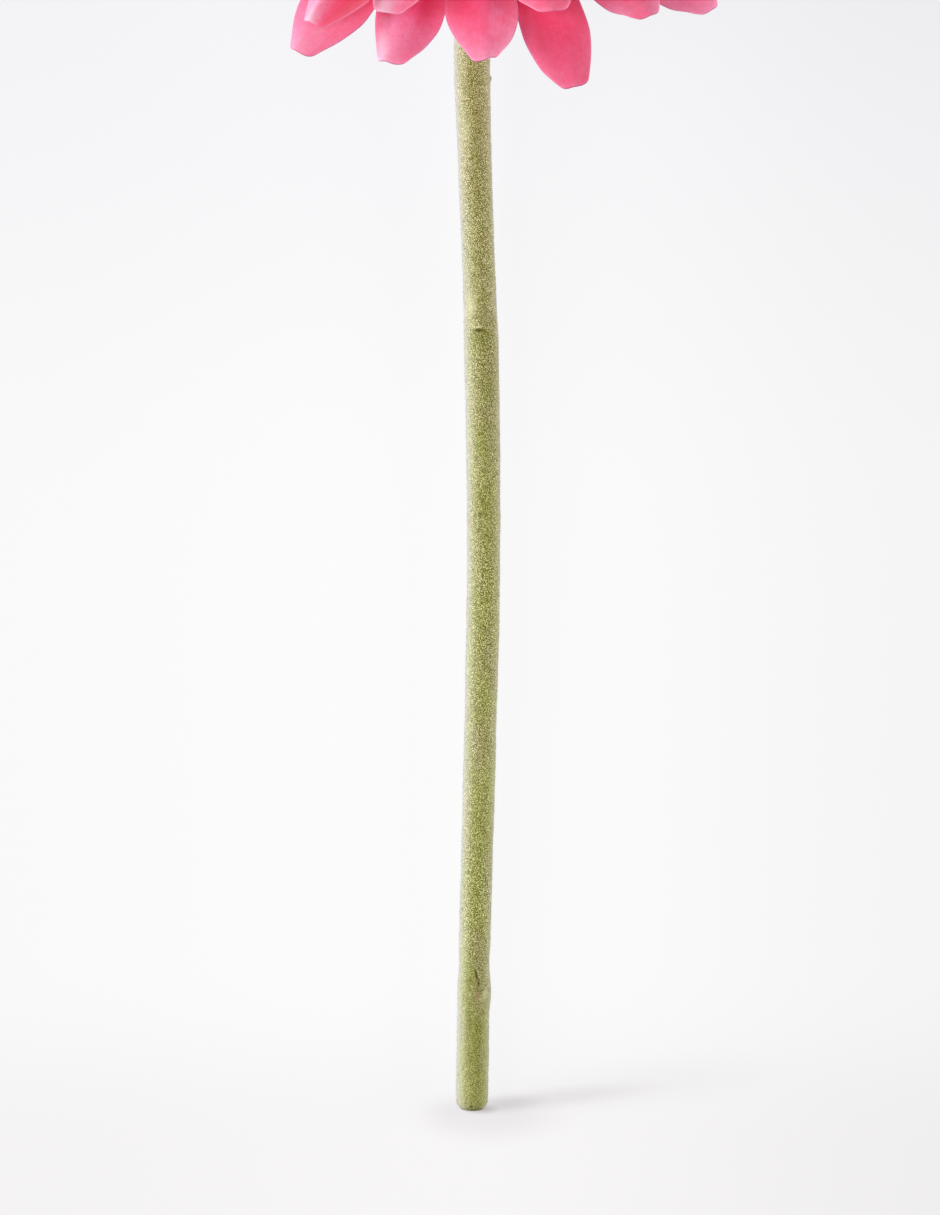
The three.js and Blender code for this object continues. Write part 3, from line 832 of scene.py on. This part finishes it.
stemColours = {"gap": (0.115, 0.105, 0.004), "down": (0.82, 0.77, 0.47), "greenGap": (0.112, 0.114, 0.0),
               "greenDown": (0.79, 0.80, 0.36), "veil": (0.345, 0.345, 0.355), "fleck": (0.42, 0.24, 0.13),
               "shade": (0.08, 0.07, 0.002), "paintedHighlight": (0.60, 0.59, 0.36)}
downSkin = stemMaterial("stemDown", stemColours, True)
finishPiece(buildStem(), stemMaterial("stemSkin", stemColours, False), "stem", "stem")
finishPiece(buildDown("stemDown", 23), downSkin, "stem")
finishPiece(buildDown("stemDownFine", 24), downSkin, "stem")
print("stem:", round(stemLength, 1), "mm,", 2 * downForm["tufts"] * downForm["perTuft"], "fibres")


# the cup's outside, and the steps that the petals sit on: radius and height
cupForm = {"wall": [(3.7, -14), (5.4, -12.9), (8.6, -10.9), (11.2, -8.2), (12.9, -5.2), (13.6, -3.4)],
           "steps": [(13.6, -2.6), (11.9, -2.6), (11.9, -1.3), (10.1, -1.3), (10.1, 0.0)], "sides": 72}


def turned(name, profile, sides, matrix):
    # a disc is drawn up into a solid of revolution, one ring at a time
    deselect()
    radius, height = profile[0]
    bpy.ops.mesh.primitive_circle_add(vertices=sides, radius=radius, fill_type="NGON",
                                      location=(0, 0, height))
    piece = bpy.context.active_object
    piece.name = piece.data.name = name
    bpy.ops.object.transform_apply(location=True, rotation=True, scale=True)
    setMode("EDIT")
    for radiusNext, heightNext in profile[1:]:
        bpy.ops.mesh.extrude_region_move(TRANSFORM_OT_translate={"value": (0, 0, heightNext - height)})
        scale = radiusNext / radius
        bpy.ops.transform.resize(value=(scale, scale, 1), center_override=(0, 0, heightNext))
        radius, height = radiusNext, heightNext
    bpy.ops.mesh.select_all(action="SELECT")
    bpy.ops.mesh.normals_make_consistent(inside=False)
    setMode("OBJECT")
    moveVertices(piece, placed(vertexPoints(piece) * mm, matrix))
    return piece


wallCurve = catmullRom(np.array(cupForm["wall"], float), 12)
cup = turned("cup", [tuple(p) for p in wallCurve[::3]] + cupForm["steps"], cupForm["sides"], headPlace)
bpy.ops.object.shade_smooth_by_angle(angle=math.radians(35))
finishPiece(cup, cupSkin, "cup", "receptacle")

wallLine = catmullRom(np.array(cupForm["wall"][1:], float), 30)
wallSteps = np.concatenate([[0], np.cumsum(np.linalg.norm(np.diff(wallLine, axis=0), axis=1))])
bractForm = {"rows": 12, "across": 4, "thickness": 0.42}
# how far up the wall each row reaches, how far it stands off, its width, how its tips flare,
# and how far in degrees a bract strays from its even place
bractRows = [
    {"name": "bract", "count": 18, "reach": (0.0, 1.16), "off": 0.5, "width": 4.7,
     "flare": 0.5, "turn": 0.0, "stray": 0, "seed": 318},
    {"name": "bractMiddle", "count": 18, "reach": (-0.02, 0.86), "off": 0.98, "width": 4.4,
     "flare": 0.7, "turn": 0.5, "stray": 2, "seed": 323},
    {"name": "bractOuter", "count": 15, "reach": (-0.04, 0.58), "off": 1.42, "width": 4.0,
     "flare": 0.8, "turn": 0.2, "stray": 2, "seed": 317},
]


def wallPoint(distance):
    return [np.interp(distance, wallSteps, wallLine[:, k]) for k in range(2)]


def bractPlacer(row, random):
    low, high = row["reach"]
    high *= random.uniform(0.94, 1.04)
    width = row["width"] * random.uniform(0.92, 1.06)
    bow = random.uniform(-0.25, 0.25)
    flare = row["flare"] * random.uniform(0.5, 1.4)

    def place(share, c):
        at = (low + (high - low) * share) * wallSteps[-1]
        inside = np.clip(at, 0, wallSteps[-1])
        step = 0.4
        (r, z), ahead, behind = (wallPoint(inside + by) for by in (0, step, -step))
        dr, dz = ahead[0] - behind[0], ahead[1] - behind[1]
        size = np.hypot(dr, dz)
        dr, dz = dr / size, dz / size
        beyond = at - inside
        shape = np.where(share < 0.4, 0.62 + 0.38 * np.sin(np.clip(share / 0.4, 0, 1) * math.pi / 2),
                         1 - 0.93 * np.clip((share - 0.4) / 0.6, 0, 1) ** 1.7)
        across = c * shape * width / 2
        off = row["off"] + flare * smoothStep(0.6, 1.0, share) - 0.35 * c ** 2 * shape
        off = off + 0.12 * np.exp(-(c / 0.25) ** 2) * shape
        r = r + dr * beyond + dz * off
        z = z + dz * beyond - dr * off
        turn = (across + bow * share ** 2) / np.maximum(r, 1)
        return np.stack([r * np.cos(turn), r * np.sin(turn), z], axis=1)

    return place


for row in bractRows:
    random = np.random.default_rng(row["seed"])
    made = []
    for i in range(row["count"]):
        stray = random.uniform(-row["stray"], row["stray"])
        azimuth = math.radians((i + row["turn"]) * 360 / row["count"] + stray)
        matrix = headPlace @ Matrix.Rotation(azimuth, 4, "Z")
        name = f'{row["name"]}{i + 1:02d}'
        made.append(strip(name, bractForm, bractPlacer(row, random), matrix))
    if row["name"] == "bract":
        for i, piece in enumerate(made):
            finishPiece(piece, bractSkin, "bract", f"bract_{i + 1:02d}")
    else:
        finishPiece(joined(row["name"] + "s", made), bractSkin, "bract")
print("cup and bracts")


# rows of short narrow florets round the centre, the lowest row first
fringeForm = {"rows": 7, "across": 2, "thickness": 0.34, "height": 0.62}
fringeRows = [
    {"count": 46, "start": 9.5, "rise": 36, "droop": 6, "reach": 21.6, "width": 2.9},
    {"count": 42, "start": 9.1, "rise": 50, "droop": 24, "reach": 18.6, "width": 2.3},
    {"count": 38, "start": 8.8, "rise": 66, "droop": 44, "reach": 15.0, "width": 1.9},
    {"count": 32, "start": 8.5, "rise": 80, "droop": 66, "reach": 11.6, "width": 1.5},
]


def floretPlacer(row, random):
    rise = math.radians(row["rise"] + random.uniform(-4, 4))
    bend = math.radians(row["droop"] + random.uniform(-7, 7)) - rise
    start = row["start"]
    reach = start + (row["reach"] - start) * random.uniform(0.86, 1.06)
    length = (reach - start) * bend / (math.sin(rise + bend) - math.sin(rise))
    width = row["width"] * random.uniform(0.85, 1.15)
    sway = random.uniform(-0.8, 0.8)
    roll = random.uniform(-0.25, 0.25)

    def place(share, c):
        angle = rise + bend * share
        taper = 1 - 0.72 * (np.maximum(share - 0.6, 0) / 0.4) ** 1.6
        half = width / 2 * np.where(share < 0.6, 0.5 + 0.5 * share / 0.6, taper)
        lift = -0.3 * half * c ** 2 + c * half * roll * share
        x = start + length * (np.sin(angle) - math.sin(rise)) / bend - lift * np.sin(angle)
        risen = length * (math.cos(rise) - np.cos(angle)) / bend
        z = fringeForm["height"] + risen + lift * np.cos(angle)
        return np.stack([x, c * half + sway * share ** 2, z], axis=1)

    return place


random = np.random.default_rng(41)
made = []
for r, row in enumerate(fringeRows):
    for i in range(row["count"]):
        azimuth = math.radians((i + 0.5 * r + random.uniform(-0.25, 0.25)) * 360 / row["count"])
        matrix = headPlace @ Matrix.Rotation(azimuth, 4, "Z")
        floret = strip("floret", fringeForm, floretPlacer(row, random), matrix)
        markPoints(floret.data, tone=random.uniform(-0.1, 0.1) - 0.06 * r)
        made.append(floret)
finishPiece(joined("innerFringe", made), fringeSkin, "fringe", "inner_fringe")
print("fringe:", len(made), "florets")


# packed buds, opening towards the centre's rim. The profiles are radius and height
discForm = {"count": 150, "radius": 8.1, "open": 0.62, "turn": 137.508, "size": (0.92, 1.08),
            "antherHeight": 2.25}
budProfile = [(0.34, 0.0), (0.46, 0.9), (0.54, 1.6), (0.52, 2.0), (0.36, 2.35), (0.12, 2.5)]
openProfile = [(0.3, 0.0), (0.36, 1.2), (0.42, 2.0), (0.66, 2.7), (0.62, 2.78), (0.34, 2.3), (0.2, 2.2)]
antherProfile = [(0.1, 0.0), (0.11, 0.8), (0.17, 0.95), (0.15, 1.5), (0.05, 1.65)]
bud = turned("budModel", budProfile, 8, Matrix.Scale(1 / mm, 4))
openFloret = turned("openModel", openProfile, 10, Matrix.Scale(1 / mm, 4))
anther = turned("antherModel", antherProfile, 6, Matrix.Scale(1 / mm, 4))


def scatterDisc():
    random = np.random.default_rng(57)
    groups = {"closedBuds": [], "openFlorets": [], "anthers": []}
    for i in range(discForm["count"]):
        share = math.sqrt((i + 0.5) / discForm["count"])
        angle = i * math.radians(discForm["turn"])
        radius = share * discForm["radius"]
        dome = 0.35 + 0.9 * (1 - share ** 2) - 0.5 * math.exp(-(share / 0.25) ** 2)
        tilt = 0.5 * share ** 2 + random.uniform(-0.06, 0.06)
        place = (headPlace @ Matrix.Rotation(angle, 4, "Z") @ Matrix.Translation((radius * mm, 0, dome * mm))
                 @ Matrix.Rotation(tilt, 4, "Y") @ Matrix.Rotation(random.uniform(0, 6), 4, "Z"))
        size = random.uniform(*discForm["size"])
        kind = "openFlorets" if share > discForm["open"] + random.uniform(-0.05, 0.05) else "closedBuds"
        height = size * (0.62 + 0.38 * share if kind == "closedBuds" else 1.0)
        copies = [(kind, openFloret if kind == "openFlorets" else bud, place, (size, size, height))]
        if kind == "openFlorets":
            raised = place @ Matrix.Translation((0, 0, discForm["antherHeight"] * mm))
            copies.append(("anthers", anther, raised, (size, size, size)))
        for group, model, matrix, scale in copies:
            copy = bpy.data.objects.new(group, model.data.copy())
            copy.data.transform(matrix @ Matrix.Diagonal((*[v * mm for v in scale], 1)))
            bpy.context.scene.collection.objects.link(copy)
            groups[group].append(copy)
    return groups


discGroups = scatterDisc()
for model in (bud, openFloret, anther):
    bpy.data.objects.remove(model)
antherSkin = greenMaterial("antherSkin", (0.75, 0.42, 0.04), (0.85, 0.6, 0.12))
openSkin = greenMaterial("openSkin", (0.55, 0.42, 0.12), (0.72, 0.30, 0.24))
for group, skin, nodes in (("closedBuds", discSkin, ["disc_florets"]), ("openFlorets", openSkin, []),
                           ("anthers", antherSkin, [])):
    piece = joined(group, discGroups[group])
    pick(piece)
    bpy.ops.object.shade_smooth_by_angle(angle=math.radians(50))
    finishPiece(piece, skin, "disc", *nodes)
print("centre:", discForm["count"], "florets")


def floorMaterial(name):
    material, tree, shader = newMaterial(name)
    shader.inputs["Base Color"].default_value = (studio["floor"], studio["floor"], studio["floor"], 1)
    shader.inputs["Roughness"].default_value = 0.9
    shader.inputs["Emission Strength"].default_value = 1.0
    place = objectPlace(tree)
    split = addNode(tree, "ShaderNodeSeparateXYZ", {0: place})
    # painted shade: the glowing sweep gets darker towards the edges
    glow = studio["floorGlow"]
    for axis, start, end, amount in studio["paintedFalloff"]:
        origin = (startX, cutEnd)[axis]
        fall = smoothRamp(tree, split.outputs[axis], origin + start, origin + end)
        glow = minus(tree, glow, times(tree, fall, amount))
    # painted shadows, taken off the floor's glow
    shade = 0.0
    for x, y, halfX, halfY, turn, amount in studio["paintedShadows"]:
        away = mapped(tree, {
            "Vector": place, "Location": (startX + x * mm, cutEnd + y * mm, 0),
            "Rotation": (0, 0, math.radians(turn)), "Scale": (halfX * mm, halfY * mm, 1)}, "TEXTURE")
        away = addNode(tree, "ShaderNodeVectorMath", {0: away}, operation="LENGTH").outputs["Value"]
        shade = plus(tree, shade, times(tree, smoothRamp(tree, away, 1.0, 0.05), amount))
    # it is a little blue at the head's end and a little pink at the cut end and in the painted shadow
    high = smoothRamp(tree, split.outputs[1], cutEnd + 0.1, cutEnd + 0.235)
    near = smoothRamp(tree, split.outputs[1], cutEnd + 0.02, cutEnd - 0.006)
    tint = mixColour(tree, high, (1.0, 1.0, 1.0), studio["highTint"])
    tint = mixColour(tree, near, tint, studio["nearTint"])
    bands = {band: minus(tree, glow, times(tree, shade, share))
             for band, share in enumerate(studio["shadeTint"])}
    lit = addNode(tree, "ShaderNodeCombineColor", bands).outputs[0]
    tree.links.new(mixColour(tree, 1.0, tint, lit, "MULTIPLY"), shader.inputs["Emission Color"])
    return material


deselect()
bpy.ops.mesh.primitive_plane_add(size=studio["floorSize"])
floor = bpy.context.active_object
floor.name = "floor"
floor.data.materials.append(floorMaterial("floorPaper"))

# what the camera sees past the sweep is as pale as the sweep
airTree = world.node_tree
seen = addNode(airTree, "ShaderNodeLightPath").outputs["Is Camera Ray"]
strength = plus(airTree, times(airTree, seen, studio["backdrop"]), studio["airStrength"])
airTree.links.new(strength, airTree.nodes["Background"].inputs["Strength"])
print("floor")
